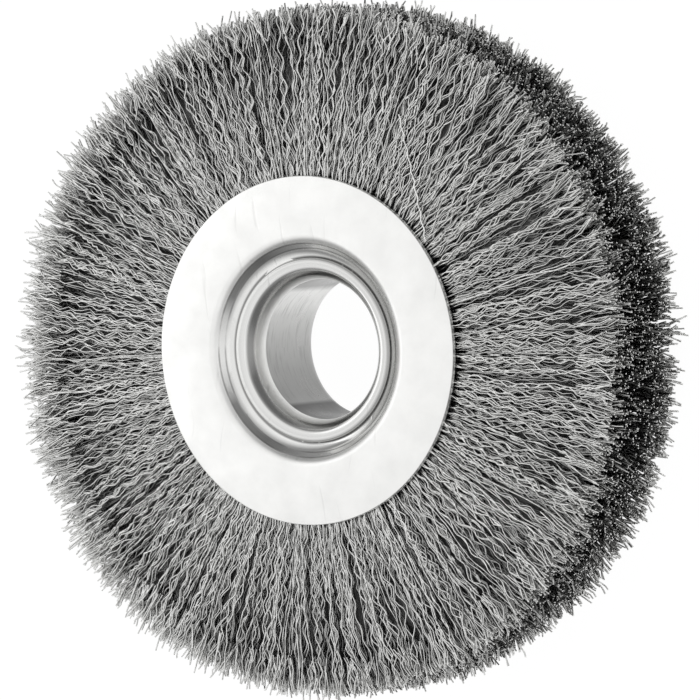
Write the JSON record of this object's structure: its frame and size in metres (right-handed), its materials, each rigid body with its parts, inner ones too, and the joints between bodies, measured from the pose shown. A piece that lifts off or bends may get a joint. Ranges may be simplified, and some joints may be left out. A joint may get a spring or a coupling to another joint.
{
  "type": "wire wheel brush",
  "caption": "Wide wire wheel brush: crimped steel wire fill held between two dished steel side plates on a flared hub tube with a plain bore.",
  "frame": {"origin": "on the bore's axis, halfway between the outer faces of the side plates", "axes": "+Z along the bore, towards the face that the picture shows; the brush lies flat on its rear plate; X and Y are any two directions across the wheel"},
  "size_m": [0.1254, 0.1255, 0.0262],
  "materials": {
    "side_plate_steel": "pale zinc-plated sheet, satin",
    "hub_tube_steel": "bright turned and rolled steel",
    "brush_wire": "drawn and crimped steel wire, oily grey",
    "core_ring_steel": "plain steel bar"
  },
  "bodies": {
    "root": {"front_side_plate": "side_plate_steel", "rear_side_plate": "side_plate_steel", "hub_tube": "hub_tube_steel", "wire_row_1": "brush_wire", "wire_row_2": "brush_wire", "wire_row_3": "brush_wire", "core_ring_1": "core_ring_steel", "core_ring_2": "core_ring_steel", "core_ring_3": "core_ring_steel"}
  },
  "joints": []
}
